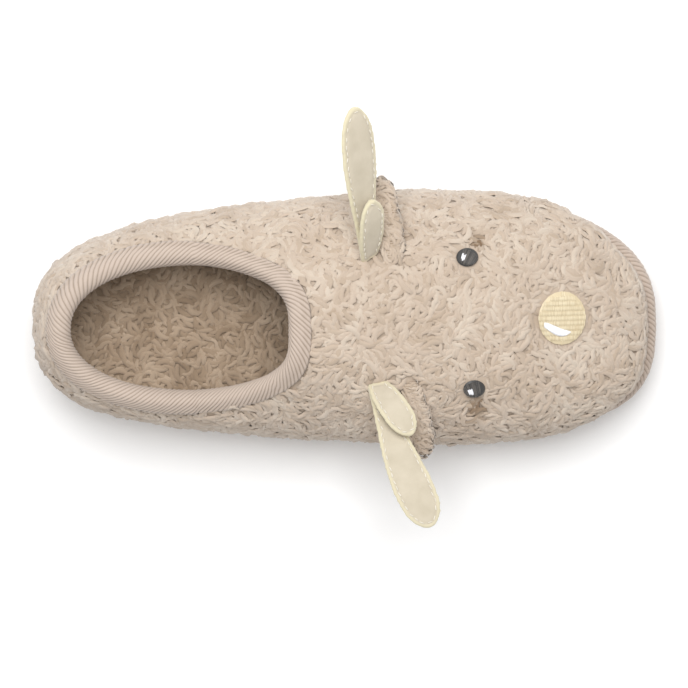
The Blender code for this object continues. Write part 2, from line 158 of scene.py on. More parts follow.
def fleece_material(name, hollow, dark, middle, light):
    """Sherpa: knitted polyester pile brushed into curls, matt, with a faint sheen on its loose fibres;
    painted shade darkens each curl's root and the curls in the hollows by the eyes.
    """
    made, tree, shader = new_material(name)
    place = add_node(tree, "ShaderNodeTexCoord")
    uv_map = add_node(tree, "ShaderNodeUVMap")
    tuft = add_node(tree, "ShaderNodeSeparateXYZ", {"Vector": uv_map.outputs["UV"]})
    patch = add_node(
        tree, "ShaderNodeTexNoise", {"Vector": place.outputs["Object"], "Scale": 1 / (16 * MM), "Detail": 2.0}
    )
    mixed = add_node(
        tree, "ShaderNodeMath", {0: tuft.outputs["Y"], 1: patch.outputs["Fac"]}, operation="MULTIPLY"
    )
    # Painted shade: the first stop, hollow, is the dark that the hollows by the eyes take; the other stops
    # are the pile's random tone
    tone = set_ramp(
        add_node(tree, "ShaderNodeValToRGB", {"Fac": mixed.outputs["Value"]}),
        (0.0, colour(hollow)),
        (0.12, colour(dark)),
        (0.28, colour(middle)),
        (0.6, colour(light)),
    )
    # Painted shade: each curl darkens towards its root, where the curls shade one another
    root = add_node(
        tree,
        "ShaderNodeMapRange",
        {"Value": tuft.outputs["X"], "From Min": 0.0, "From Max": 0.3, "To Min": 0.88, "To Max": 1.0},
    )
    shaded = add_node(
        tree,
        "ShaderNodeMix",
        {"Factor": 1.0, "A": tone.outputs["Color"], "B": root.outputs["Result"]},
        data_type="RGBA",
        blend_type="MULTIPLY",
    )
    fibre = add_node(
        tree,
        "ShaderNodeTexNoise",
        {"Vector": place.outputs["Object"], "Scale": 1 / (0.5 * MM), "Detail": 3.0},
    )
    bump = add_node(
        tree, "ShaderNodeBump", {"Height": fibre.outputs["Fac"], "Strength": 0.5, "Distance": 0.25 * MM}
    )
    tree.links.new(shaded.outputs["Result"], shader.inputs["Base Color"])
    tree.links.new(bump.outputs["Normal"], shader.inputs["Normal"])
    shader.inputs["Roughness"].default_value = 0.95
    shader.inputs["Specular IOR Level"].default_value = 0.15
    shader.inputs["Sheen Weight"].default_value = 0.35
    shader.inputs["Sheen Roughness"].default_value = 0.6
    return made


def tape_material():
    """Grosgrain tape: woven polyester with raised ribs, so it has a faint silky gloss across them; painted
    shade darkens its rib grooves, its seam and its back.
    """
    made, tree, shader = new_material("grosgrain tape, woven polyester")
    place = add_node(tree, "ShaderNodeTexCoord")
    uv_map = add_node(tree, "ShaderNodeUVMap")
    across = add_node(tree, "ShaderNodeSeparateXYZ", {"Vector": uv_map.outputs["UV"]})
    cloud = add_node(
        tree, "ShaderNodeTexNoise", {"Vector": place.outputs["Object"], "Scale": 1 / (5 * MM), "Detail": 4.0}
    )
    # Painted shade: the UV heights make the rib grooves, the seam and the tape's back darker; the cloud adds
    # random tone
    height = add_node(
        tree,
        "ShaderNodeMath",
        {0: cloud.outputs["Fac"], 1: 0.3, 2: across.outputs["Y"]},
        operation="MULTIPLY_ADD",
    )
    tone = set_ramp(
        add_node(tree, "ShaderNodeValToRGB", {"Fac": height.outputs["Value"]}),
        (0.15, colour("#8C7B6B")),
        (0.55, colour("#AC9C8E")),
        (1.0, colour("#BFAFA2")),
    )
    yarn = add_node(
        tree,
        "ShaderNodeTexNoise",
        {"Vector": place.outputs["Object"], "Scale": 1 / (0.35 * MM), "Detail": 2.0},
    )
    bump = add_node(
        tree, "ShaderNodeBump", {"Height": yarn.outputs["Fac"], "Strength": 0.35, "Distance": 0.12 * MM}
    )
    tree.links.new(tone.outputs["Color"], shader.inputs["Base Color"])
    tree.links.new(bump.outputs["Normal"], shader.inputs["Normal"])
    shader.inputs["Roughness"].default_value = 0.72
    shader.inputs["Sheen Weight"].default_value = 0.2
    shader.inputs["Specular IOR Level"].default_value = 0.3
    return made


def felt_material():
    """Felt: pressed polyester fibre, matt, with a short fuzz and a yellower rim outside its seam."""
    made, tree, shader = new_material("felt, pressed polyester")
    place = add_node(tree, "ShaderNodeTexCoord")
    cloud = add_node(
        tree, "ShaderNodeTexNoise", {"Vector": place.outputs["Object"], "Scale": 1 / (7 * MM), "Detail": 5.0}
    )
    uv_map = add_node(tree, "ShaderNodeUVMap")
    inset = add_node(tree, "ShaderNodeSeparateXYZ", {"Vector": uv_map.outputs["UV"]})
    body = set_ramp(
        add_node(tree, "ShaderNodeValToRGB", {"Fac": cloud.outputs["Fac"]}),
        (0.3, colour("#BDB39F")),
        (0.7, colour("#C9BFAC")),
    )
    tone = add_node(
        tree,
        "ShaderNodeMix",
        {"Factor": inset.outputs["X"], "A": colour("#D6CDAF"), "B": body.outputs["Color"]},
        data_type="RGBA",
    )
    fuzz = add_node(
        tree,
        "ShaderNodeTexNoise",
        {"Vector": place.outputs["Object"], "Scale": 1 / (0.6 * MM), "Detail": 4.0},
    )
    bump = add_node(
        tree, "ShaderNodeBump", {"Height": fuzz.outputs["Fac"], "Strength": 0.45, "Distance": 0.2 * MM}
    )
    tree.links.new(tone.outputs["Result"], shader.inputs["Base Color"])
    tree.links.new(bump.outputs["Normal"], shader.inputs["Normal"])
    shader.inputs["Roughness"].default_value = 0.95
    shader.inputs["Sheen Weight"].default_value = 0.4
    shader.inputs["Specular IOR Level"].default_value = 0.1
    return made


def thread_material(name, dark, light, roughness):
    """Embroidery thread: trilobal polyester, each stitch a little lighter or darker, with a silky gloss."""
    made, tree, shader = new_material(name)
    uv_map = add_node(tree, "ShaderNodeUVMap")
    tuft = add_node(tree, "ShaderNodeSeparateXYZ", {"Vector": uv_map.outputs["UV"]})
    tone = set_ramp(
        add_node(tree, "ShaderNodeValToRGB", {"Fac": tuft.outputs["Y"]}),
        (0.0, colour(dark)),
        (1.0, colour(light)),
    )
    tree.links.new(tone.outputs["Color"], shader.inputs["Base Color"])
    shader.inputs["Roughness"].default_value = roughness
    shader.inputs["Sheen Weight"].default_value = 0.1
    return made


def rubber_material():
    """Thermoplastic rubber, injection moulded: matt, with a fine spark-eroded grain."""
    made, tree, shader = new_material("thermoplastic rubber, moulded")
    place = add_node(tree, "ShaderNodeTexCoord")
    grain = add_node(
        tree,
        "ShaderNodeTexNoise",
        {"Vector": place.outputs["Object"], "Scale": 1 / (0.8 * MM), "Detail": 3.0},
    )
    tone = set_ramp(
        add_node(tree, "ShaderNodeValToRGB", {"Fac": grain.outputs["Fac"]}),
        (0.3, colour("#A8947F")),
        (0.7, colour("#B7A48F")),
    )
    bump = add_node(
        tree, "ShaderNodeBump", {"Height": grain.outputs["Fac"], "Strength": 0.3, "Distance": 0.1 * MM}
    )
    tree.links.new(tone.outputs["Color"], shader.inputs["Base Color"])
    tree.links.new(bump.outputs["Normal"], shader.inputs["Normal"])
    shader.inputs["Roughness"].default_value = 0.6
    return made


# Each fleece's first colour is the painted shade of the hollows by the eyes
PILE = fleece_material("sherpa pile, brushed polyester", "#7E6750", "#B3A18E", "#BFAE9D", "#CABCAC")
# The lining's colours are the pile's with a browner tone of their own, darkened further as painted shade of
# the inside
SHADED_LINING = fleece_material("sherpa lining, brushed polyester", "#5E4C3B", "#947F69", "#A9947E", "#B9A58F")
TAPE = tape_material()
FELT = felt_material()
FELT_THREAD = thread_material("cotton seam thread, white", "#D6CFC0", "#E2DCCF", 0.7)
GREY_THREAD = thread_material("embroidery thread, charcoal polyester", "#3B3A39", "#6B6661", 0.4)
WHITE_THREAD = thread_material("embroidery thread, white polyester", "#E9EAEE", "#FCFCFF", 0.45)
CREAM_THREAD = thread_material("embroidery thread, cream polyester", "#D5C5A4", "#E6DABD", 0.45)
RUBBER = rubber_material()


def finish_piece(name, mesh, material, slot, *replaced):
    """Puts a mesh in the scene as a piece of the slipper's one body."""
    piece = bpy.data.objects.new(name, mesh)
    bpy.context.scene.collection.objects.link(piece)
    mesh.materials.clear()
    mesh.materials.append(material)
    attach(piece, "root")
    if replaced:
        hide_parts(*replaced)
    return piece


def node_copy(node):
    """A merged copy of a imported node's mesh, in quads where its triangles pair up."""
    shape = bmesh.new()
    shape.from_mesh(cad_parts[node].data)
    bmesh.ops.remove_doubles(shape, verts=shape.verts, dist=0.01 * MM)
    bmesh.ops.join_triangles(
        shape,
        faces=shape.faces,
        angle_face_threshold=math.radians(30),
        angle_shape_threshold=math.radians(40),
    )
    bmesh.ops.recalc_face_normals(shape, faces=shape.faces)
    return shape


def to_mesh(name, shape, smooth=True):
    """A mesh from a bmesh, which is freed."""
    mesh = bpy.data.meshes.new(name)
    shape.to_mesh(mesh)
    shape.free()
    if smooth:
        mesh.shade_smooth()
    return mesh


def with_modifier(mesh, kind, **settings):
    """A new mesh with one modifier applied."""
    holder = bpy.data.objects.new("holder", mesh)
    bpy.context.scene.collection.objects.link(holder)
    modifier = holder.modifiers.new("made", kind)
    for name, value in settings.items():
        setattr(modifier, name, value)
    ready = holder.evaluated_get(bpy.context.evaluated_depsgraph_get())
    made = bpy.data.meshes.new_from_object(ready)
    bpy.data.objects.remove(holder)
    return made


def tree_of(node):
    """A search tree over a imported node's faces."""
    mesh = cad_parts[node].data
    return BVHTree.FromPolygons([v.co for v in mesh.vertices], [tuple(p.vertices) for p in mesh.polygons])


TREES = {node: tree_of(node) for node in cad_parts}


def distance_to(nodes, point):
    """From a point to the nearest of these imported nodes."""
    return min(TREES[node].find_nearest(point)[3] for node in nodes)


def triangle_arrays(mesh):
    """Corners and corner normals of a mesh's triangles."""
    mesh.calc_loop_triangles()
    count = len(mesh.loop_triangles)
    corners = np.empty(count * 3, dtype=np.int32)
    mesh.loop_triangles.foreach_get("vertices", corners)
    places = np.empty(len(mesh.vertices) * 3, dtype=np.float32)
    mesh.vertices.foreach_get("co", places)
    normals = np.empty(len(mesh.vertices) * 3, dtype=np.float32)
    mesh.vertices.foreach_get("normal", normals)
    corners = corners.reshape(-1, 3)
    return places.reshape(-1, 3)[corners], normals.reshape(-1, 3)[corners]


def scatter(mesh, spacing, seed, wanted):
    """Places and normals spread evenly over a mesh where wanted(place, normal) holds."""
    rng = np.random.default_rng(seed)
    corners, normals = triangle_arrays(mesh)
    area = np.linalg.norm(
        np.cross(corners[:, 1] - corners[:, 0], corners[:, 2] - corners[:, 0]), axis=1
    ) / 2
    tries = int(area.sum() / spacing**2 * 4)
    chosen = rng.choice(len(area), size=tries, p=area / area.sum())
    u, v = rng.random(tries), rng.random(tries)
    over = u + v > 1
    u[over], v[over] = 1 - u[over], 1 - v[over]
    weights = np.stack([1 - u - v, u, v], axis=1)[:, :, None]
    places = (corners[chosen] * weights).sum(axis=1)
    facing = (normals[chosen] * weights).sum(axis=1)
    facing /= np.linalg.norm(facing, axis=1)[:, None]
    taken, kept = {}, []
    reach = 0.84 * spacing
    cells = np.floor(places / reach).astype(int)
    for i in range(tries):
        x, y, z = cells[i]
        near = (
            other
            for dx in (-1, 0, 1)
            for dy in (-1, 0, 1)
            for dz in (-1, 0, 1)
            for other in taken.get((x + dx, y + dy, z + dz), ())
        )
        here = places[i]
        if any(((places[other] - here) ** 2).sum() < reach**2 for other in near):
            continue
        taken.setdefault((x, y, z), []).append(i)
        kept.append(i)
    kept = [i for i in kept if wanted(Vector(places[i]), Vector(facing[i]))]
    return places[kept], facing[kept]


def tapered_tube(sides, rings, radius, heading, rise):
    """A tube of length 1 along a curve in its own plane, thin at both ends."""
    shape = bmesh.new()
    bmesh.ops.create_cone(
        shape, cap_ends=True, cap_tris=True, segments=sides, radius1=radius, radius2=radius, depth=1.0
    )
    bmesh.ops.rotate(shape, verts=shape.verts, matrix=Matrix.Rotation(math.pi / 2, 3, "Y"))
    for i in range(1, rings):
        bmesh.ops.bisect_plane(
            shape,
            geom=shape.verts[:] + shape.edges[:] + shape.faces[:],
            plane_co=(i / rings - 0.5, 0, 0),
            plane_no=(1, 0, 0),
        )
    steps = 40
    path = [Vector((0, 0, 0))]
    for i in range(steps):
        turn = heading((i + 0.5) / steps)
        path.append(path[-1] + Vector((math.cos(turn), math.sin(turn), 0)) / steps)
    middle = (path[0] + path[-1]) / 2
    along = {}
    for vert in shape.verts:
        t = min(max(vert.co.x + 0.5, 0.0), 1.0)
        here = path[min(int(t * steps), steps)] - middle
        turn = heading(t)
        taper = 0.35 + 0.65 * math.sin(math.pi * (0.06 + 0.88 * t)) ** 0.6
        side = Vector((-math.sin(turn), math.cos(turn), 0)) * vert.co.y * taper
        vert.co = here + side + Vector((0, 0, vert.co.z * taper + rise * math.sin(math.pi * t) ** 0.8))
        along[vert] = t
    bmesh.ops.triangulate(shape, faces=shape.faces)
    return shape, along


def shape_arrays(shape, along):
    """Places, normals, faces and shares along its length of a small shape, for joined copies."""
    shape.verts.index_update()
    shape.normal_update()
    places = np.array([vert.co[:] for vert in shape.verts])
    normals = np.array([vert.normal[:] for vert in shape.verts])
    faces = np.array([[vert.index for vert in face.verts] for face in shape.faces])
    shares = np.array([along[vert] for vert in shape.verts])
    shape.free()
    return places, normals, faces, shares


def joined_copies(name, shapes, picks, origins, axes, shades, softness=0.0):
    """One mesh of many small shapes, each with its own axes; UV holds the share along it and its shade.

    Softness turns the shading of each towards that of the cloth under it, as loose fibres do.
    """
    all_places, all_normals, all_faces, all_uv = [], [], [], []
    start = 0
    units = axes / np.linalg.norm(axes, axis=2)[:, :, None]
    for number, (places, normals, faces, shares) in enumerate(shapes):
        chosen = np.flatnonzero(picks == number)
        if not len(chosen):
            continue
        moved = np.einsum("vk,nkj->nvj", places, axes[chosen]) + origins[chosen][:, None, :]
        offsets = start + np.arange(len(chosen))[:, None, None] * len(places)
        turned = np.einsum("vk,nkj->nvj", normals, units[chosen])
        turned = turned * (1 - softness) + units[chosen][:, None, 2, :] * softness
        all_places.append(moved.reshape(-1, 3))
        all_normals.append(turned.reshape(-1, 3))
        all_faces.append((faces[None, :, :] + offsets).reshape(-1, 3))
        uv = np.empty((len(chosen), len(faces) * 3, 2))
        uv[:, :, 0] = shares[faces.ravel()][None, :]
        uv[:, :, 1] = shades[chosen][:, None]
        all_uv.append(uv.reshape(-1, 2))
        start += len(chosen) * len(places)
    places = np.concatenate(all_places)
    faces = np.concatenate(all_faces)
    mesh = bpy.data.meshes.new(name)
    mesh.vertices.add(len(places))
    mesh.vertices.foreach_set("co", places.astype(np.float32).ravel())
    mesh.loops.add(faces.size)
    mesh.loops.foreach_set("vertex_index", faces.astype(np.int32).ravel())
    mesh.polygons.add(len(faces))
    mesh.polygons.foreach_set("loop_start", np.arange(0, faces.size, 3, dtype=np.int32))
    mesh.update(calc_edges=True)
    layer = mesh.uv_layers.new(name="tuft")
    layer.data.foreach_set("uv", np.concatenate(all_uv).astype(np.float32).ravel())
    mesh.shade_smooth()
    if softness:
        mesh.normals_split_custom_set_from_vertices(np.concatenate(all_normals))
    return mesh


def curl_shapes():
    """Curls of the pile: bows, waves and hooks, each to both sides."""
    kinds = []
    for side in (-1, 1):
        kinds += [
            lambda t, s=side: s * 1.4 * (t - 0.5),
            lambda t, s=side: s * 0.9 * math.sin(2 * math.pi * t),
            lambda t, s=side: s * 1.7 * t**2,
            lambda t, s=side: s * (0.7 * math.sin(3 * math.pi * t) + 0.4 * t),
            lambda t, s=side: s * 2.7 * (t - 0.5),
        ]
    return [shape_arrays(*tapered_tube(4, CURL_RINGS, CURL_WIDTH / 2, kind, CURL_ARCH)) for kind in kinds]


CURLS = curl_shapes()


def flow_at(place, normal, size):
    """The way the pile lies here: a smooth swirl over the surface."""
    swirl = noise.noise_vector(place / size)
    swirl += 0.5 * noise.noise_vector(place / (0.45 * size) + Vector((7, 3, 1)))
    lying = swirl - normal * swirl.dot(normal)
    if lying.length < 1e-4:
        lying = normal.orthogonal()
    return lying.normalized()


def grow_curls(name, places, normals, length, seed, pressed, lift=0.0):
    """Curls rooted at these places.

    pressed(place) gives the way the pile is brushed there, or None, and its share of the full size.
    """
    rng = np.random.default_rng(seed)
    count = len(places)
    axes = np.empty((count, 3, 3))
    origins = np.empty((count, 3))
    shades = 0.3 + 0.7 * rng.random(count)
    for i in range(count):
        place, normal = Vector(places[i]), Vector(normals[i])
        run = flow_at(place, normal, FLOW_SIZE)
        away, size = pressed(place)
        if away is not None:
            away = (away - normal * away.dot(normal)).normalized()
            run = (run * size + away * (1 - size)).normalized()
        run = Matrix.Rotation(rng.normal(0, 0.28), 3, normal) @ run
        side = normal.cross(run)
        long = length * rng.uniform(0.72, 1.25) * (0.55 + 0.45 * size)
        up = normal * long * rng.uniform(0.55, 0.9) * (0.35 + 0.65 * size)
        tilt = run * 1.0 + normal * rng.normal(0.0, 0.07)
        axes[i] = (tilt * long, side * long * rng.uniform(0.8, 1.15), up)
        clump = noise.noise(place / CLUMP_SIZE + Vector((3, 9, 4))) * CLUMP_HEIGHT * size
        origins[i] = place + normal * (lift + clump - 0.5 * MM * (1 - size))
        # Painted shade: curls in the hollows by the eyes are darkened
        shades[i] *= 1 - hollow_share(place)
    picks = rng.integers(0, len(CURLS), count)
    return joined_copies(name, CURLS, picks, origins, axes, shades, PILE_SOFTNESS)


def core_offset(place):
    """From the middle line of the hollow to this place."""
    start, end = Vector((-20, 0, 45)) * MM, Vector((190, 0, 32)) * MM
    share = min(max((place - start).dot(end - start) / (end - start).length_squared, 0.0), 1.0)
    return place - start.lerp(end, share)


PATCHES = {}
for patch in ("eye_outer", "eye_inner", "nose"):
    low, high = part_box(patch)
    PATCHES[patch] = (low + high) / 2
PATCH_RADIUS = {"eye_outer": 4.2 * MM, "eye_inner": 4.2 * MM, "nose": 10.8 * MM}


def toe_rim(place):
    """1 where the upper meets the sole's tape round the toe, which stays in view, and 0 away from it."""
    toeward = min(max((place.x - TOE_RIM_START) / (30 * MM), 0.0), 1.0)
    return toeward * max(0.0, 1 - distance_to(("midsole_band",), place) / TOE_RIM_HEIGHT)


def hollow_share(place):
    """1 in the middle of a hollow where the embroidery pulls the fleece in, and 0 beyond its rim."""
    shares = [1 - (Vector((place.x - x, place.y - y)).length / radius) ** 2 for x, y, radius in HOLLOWS]
    return max(0.0, *shares)


def pressed_by_patches(place):
    """The pile round each embroidered patch is pressed flat and points away from it."""
    best, size = None, 1.0 - 0.9 * toe_rim(place)
    for patch, middle in PATCHES.items():
        away = place - middle
        share = (away.length - PATCH_RADIUS[patch]) / SHAVED_REACH
        if share < size:
            best, size = away, max(share, 0.0)
    return best, size


def unpressed(place):
    """Pile that no patch presses."""
    return None, 1.0


def lumpy(place, normal):
    """Soft lumps of the padded fleece."""
    height = noise.noise(place / LUMP_SIZE) + 0.3 * noise.noise(place / (0.35 * LUMP_SIZE))
    return normal * height * LUMP_HEIGHT


def painted_gap_shade(mesh):
    """The knitted backing between the curls gets one colour, a little darker than they are: painted shade of
    the gaps between curls.
    """
    layer = mesh.uv_layers.new(name="tuft")
    layer.data.foreach_set("uv", np.tile((0.3, 0.4), len(layer.data)).astype(np.float32))


def upper_backing():
    """The padded shell under the curls, from the upper's own surface with soft lumps."""
    shape = node_copy("upper")
    bmesh.ops.subdivide_edges(shape, edges=shape.edges, cuts=1, use_grid_fill=True)
    shape.normal_update()
    for vert in shape.verts:
        edge = min(1.0, distance_to(("collar_binding", "midsole_band", "insole"), vert.co) / (3 * MM))
        if vert.normal.dot(core_offset(vert.co)) > 0:
            rim = toe_rim(vert.co)
            edge *= 1 - rim
            sunk = HOLLOW_DEPTH * hollow_share(vert.co) + TOE_RIM_SETBACK * rim
            vert.co -= vert.normal * sunk
        if distance_to(("midsole_band",), vert.co) < 1.5 * MM:
            vert.co.z -= 0.8 * MM
        vert.co += lumpy(vert.co, vert.normal) * edge
    bmesh.ops.smooth_vert(
        shape, verts=shape.verts, factor=0.3, use_axis_x=True, use_axis_y=True, use_axis_z=True
    )
    mesh = to_mesh("upper_backing", shape)
    painted_gap_shade(mesh)
    return finish_piece("upper_backing", mesh, PILE, "fleece", "upper")


def outside_wanted(place, normal):
    """Where the outer pile grows: not under the sole's edge, the tape, the antlers, the ears or a patch."""
    if normal.dot(core_offset(place)) <= 0 or normal.z < -0.75:
        return False
    if distance_to(("collar_binding",), place) < 1.1 * MM:
        return False
    if distance_to(("antler_outer", "antler_inner", "ear_outer", "ear_inner"), place) < 1.2 * MM:
        return False
    return all(
        (place - middle).length > 0.94 * PATCH_RADIUS[patch] for patch, middle in PATCHES.items()
    )


def lining_wanted(place, normal):
    """Where the lining's pile grows: inside, as far as the collar lets the eye in."""
    if normal.dot(core_offset(place)) > 0 or place.x > 105 * MM:
        return False
    return min(distance_to(("collar_binding",), place), distance_to(("insole",), place)) > 1.0 * MM


def pile_pieces(backing):
    """The outer pile in four bands from heel to toe, and the pile of the lining."""
    low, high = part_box("upper")
    places, normals = scatter(backing.data, CURL_SPACING, SEED, outside_wanted)
    bands = ("heel", "waist", "ball", "toe")
    share = (places[:, 0] - low.x) / (high.x - low.x)
    for number, band in enumerate(bands):
        here = (share * len(bands)).astype(int).clip(0, len(bands) - 1) == number
        name = f"fleece_curls_{band}"
        mesh = grow_curls(
            name, places[here], normals[here], CURL_LENGTH, SEED + number, pressed_by_patches
        )
        finish_piece(name, mesh, PILE, "fleece")
    places, normals = scatter(backing.data, LINING_SPACING, SEED + 5, lining_wanted)
    mesh = grow_curls("lining_curls", places, normals, CURL_LENGTH, SEED + 6, unpressed)
    finish_piece("lining_curls", mesh, SHADED_LINING, "lining_fleece")


def footbed():
    """The padded insole with its pile, which grows as far forward as it can be seen."""
    shape = node_copy("insole")
    mesh = to_mesh("footbed", shape)
    mesh = with_modifier(mesh, "REMESH", mode="VOXEL", voxel_size=2.0 * MM, use_smooth_shade=True)
    shape = bmesh.new()
    shape.from_mesh(mesh)
    shape.normal_update()
    for vert in shape.verts:
        if vert.normal.z > 0.5:
            vert.co += lumpy(vert.co, vert.normal)
    mesh = to_mesh("footbed", shape)
    painted_gap_shade(mesh)
    piece = finish_piece("footbed", mesh, SHADED_LINING, "lining_fleece", "insole")
    places, normals = scatter(
        piece.data, LINING_SPACING, SEED + 7, lambda place, normal: normal.z > 0.6 and place.x < 115 * MM
    )
    mesh = grow_curls("footbed_curls", places, normals, CURL_LENGTH, SEED + 8, unpressed)
    finish_piece("footbed_curls", mesh, SHADED_LINING, "lining_fleece")


def periodic_smooth(values, rounds):
    """Values round a closed loop, smoothed."""
    for _ in range(rounds):
        values = (np.roll(values, 1, axis=0) + 2 * values + np.roll(values, -1, axis=0)) / 4
    return values


def radial_sections(node, centre, count):
    """Points where upright planes through a centre line cut a node, one set for each direction."""
    source = node_copy(node)
    sections = []
    for i in range(count):
        angle = 2 * math.pi * i / count
        out = Vector((math.cos(angle), math.sin(angle), 0))
        cut = source.copy()
        made = bmesh.ops.bisect_plane(
            cut,
            geom=cut.verts[:] + cut.edges[:] + cut.faces[:],
            plane_co=centre,
            plane_no=(-out.y, out.x, 0),
        )
        points = [
            part.co.copy()
            for part in made["geom_cut"]
            if isinstance(part, bmesh.types.BMVert) and (part.co - centre).dot(out) > 0
        ]
        sections.append((out, points))
        cut.free()
    source.free()
    return sections


def resample_loop(points, count):
    """Evenly spaced places round a closed row of points, with its length."""
    closed = np.vstack([points, points[:1]])
    steps = np.linalg.norm(np.diff(closed, axis=0), axis=1)
    run = np.concatenate([[0], np.cumsum(steps)])
    wanted = np.linspace(0, run[-1], count, endpoint=False)
    return np.stack([np.interp(wanted, run, closed[:, k]) for k in range(3)], axis=1), run[-1]


def resample_line(points, count):
    """Evenly spaced places along an open row of points, with its length."""
    points = np.array(points)
    run = np.concatenate([[0], np.cumsum(np.linalg.norm(np.diff(points, axis=0), axis=1))])
    wanted = np.linspace(0, run[-1], count)
    return np.stack([np.interp(wanted, run, points[:, k]) for k in range(3)], axis=1), run[-1]


def opening_axis(tree, core, out, up):
    """The way from the core of a folded tape to its fold: away from the side where it is open."""
    free = Vector((0, 0, 0))
    for i in range(72):
        turn = 2 * math.pi * i / 72
        ray = out * math.cos(turn) + up * math.sin(turn)
        if tree.ray_cast(core, ray, 12 * MM)[0] is None:
            free += ray
    return -free.normalized()


def sheared(surface, slant, row_step, run_step):
    """The same surface with its cross lines slanted, so that each follows a rib."""
    count, rows = surface.shape[:2]
    made = np.empty_like(surface)
    for j in range(rows):
        place = np.arange(count) - slant * j * row_step / run_step
        first = np.floor(place).astype(int)
        share = (place - first)[:, None]
        made[:, j] = surface[first % count, j] * (1 - share) + surface[(first + 1) % count, j] * share
    return made


def ribbed_tape(node, cores, axes, spread, rows, slant_at):
    """A tape's outer surface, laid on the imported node's own round a loop of cores, in rib lines."""
    tree = TREES[node]
    loop, length = resample_loop(cores, 400)
    ribs = round(length / RIB_PITCH)
    count = ribs * RIB_SAMPLES
    loop, length = resample_loop(cores, count)
    heads = periodic_smooth(resample_loop_values(axes, cores, count), 8)
    surface = np.empty((count, rows, 3))
    tape_width = 0.0
    for i in range(count):
        core = Vector(loop[i])
        run = Vector(loop[(i + 3) % count] - loop[i - 3]).normalized()
        head = Vector(heads[i])
        head = (head - run * head.dot(run)).normalized()
        side = run.cross(head)
        hits = []
        for turn in np.linspace(-spread, spread, 41):
            ray = head * math.cos(turn) + side * math.sin(turn)
            hit = tree.ray_cast(core + ray * 12 * MM, -ray, 12 * MM)[0]
            if hit is not None:
                hits.append(hit[:])
        surface[i], width = resample_line(hits, rows)
        tape_width += width / count
    for _ in range(3):
        surface = periodic_smooth(surface, 2)
    surface = sheared(surface, slant_at(surface[:, rows // 2]), tape_width / (rows - 1), length / count)
    by_run = np.roll(surface, -2, axis=0) - np.roll(surface, 2, axis=0)
    by_row = np.gradient(surface, axis=1)
    normals = np.cross(by_row, by_run)
    normals /= np.linalg.norm(normals, axis=2)[:, :, None]
    phase = np.arange(count) / RIB_SAMPLES % 1.0
    wave = np.abs(np.sin(math.pi * phase))[:, None] ** 0.6
    return surface, normals, wave, tape_width


def resample_loop_values(values, cores, count):
    """Values that belong to the cores, read at evenly spaced places round their loop."""
    closed = np.vstack([cores, cores[:1]])
    run = np.concatenate([[0], np.cumsum(np.linalg.norm(np.diff(closed, axis=0), axis=1))])
    again = np.vstack([values, values[:1]])
    wanted = np.linspace(0, run[-1], count, endpoint=False)
    return np.stack([np.interp(wanted, run, again[:, k]) for k in range(3)], axis=1)


def grid_mesh(name, rings, heights):
    """Joins rows of rings into a tube; heights go to the UV map, where the material turns them into painted
    shade.
    """
    count, rows = rings.shape[:2]
    shape = bmesh.new()
    layer = shape.loops.layers.uv.new("tuft")
    verts = [[shape.verts.new(rings[i, j]) for j in range(rows)] for i in range(count)]
    for i in range(count):
        k = (i + 1) % count
        for j in range(rows):
            m = (j + 1) % rows
            face = shape.faces.new((verts[i][j], verts[k][j], verts[k][m], verts[i][m]))
            for loop, (a, b) in zip(face.loops, ((i, j), (k, j), (k, m), (i, m))):
                loop[layer].uv = (a / count, heights[a, b])
    bmesh.ops.recalc_face_normals(shape, faces=shape.faces)
    return to_mesh(name, shape)


def collar_tape():
    """The tape folded over the collar, with its seam near the outer edge."""
    low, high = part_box("collar_binding")
    centre = (low + high) / 2
    tree = TREES["collar_binding"]
    cores, heads = [], []
    for out, points in radial_sections("collar_binding", centre, 96):
        core = sum(points, Vector()) / len(points)
        cores.append(core[:])
        heads.append(opening_axis(tree, core, out, Vector((0, 0, 1)))[:])
    cores = periodic_smooth(np.array(cores), 2)
    heads = periodic_smooth(np.array(heads), 4)
    rows = 20

    def slant_at(places):
        heelward = np.clip((centre.x - places[:, 0]) / (centre.x - low.x), 0, 1) ** 4
        return RIB_SLANT + (HEEL_RIB_SLANT - RIB_SLANT) * heelward

    surface, normals, wave, width = ribbed_tape(
        "collar_binding", cores, heads, math.radians(150), rows, slant_at
    )
    place = np.linspace(0, width, rows)
    seam = np.exp(-(((width - SEAM_FROM_EDGE - place) / (0.45 * MM)) ** 2))[None, :]
    edge = np.clip(np.minimum(place, width - place) / (0.8 * MM), 0, 1)[None, :]
    from_middle = surface - np.repeat(surface.mean(axis=1)[:, None], rows, axis=1)
    outward = np.sign((normals * from_middle).sum(axis=2).mean())
    height = (wave * (1 - 0.7 * seam) - 0.9 * seam) * edge
    outer = surface + normals * outward * (height * RIB_HEIGHT)[:, :, None]
    back = [rows - 1, rows * 2 // 3, rows // 3, 0]
    inner = surface[:, back] - normals[:, back] * outward * TAPE_BODY
    rings = np.concatenate([outer, inner], axis=1)
    # The heights also set the tape's painted shade: low rib lines, the seam and the back rows darker
    heights = np.concatenate(
        [np.clip(0.15 + 0.85 * height, 0, 1), np.zeros((len(outer), len(back)))], axis=1
    )
    mesh = grid_mesh("collar_tape", rings, heights)
    finish_piece("collar_tape", mesh, TAPE, "rib_tape", "collar_binding")


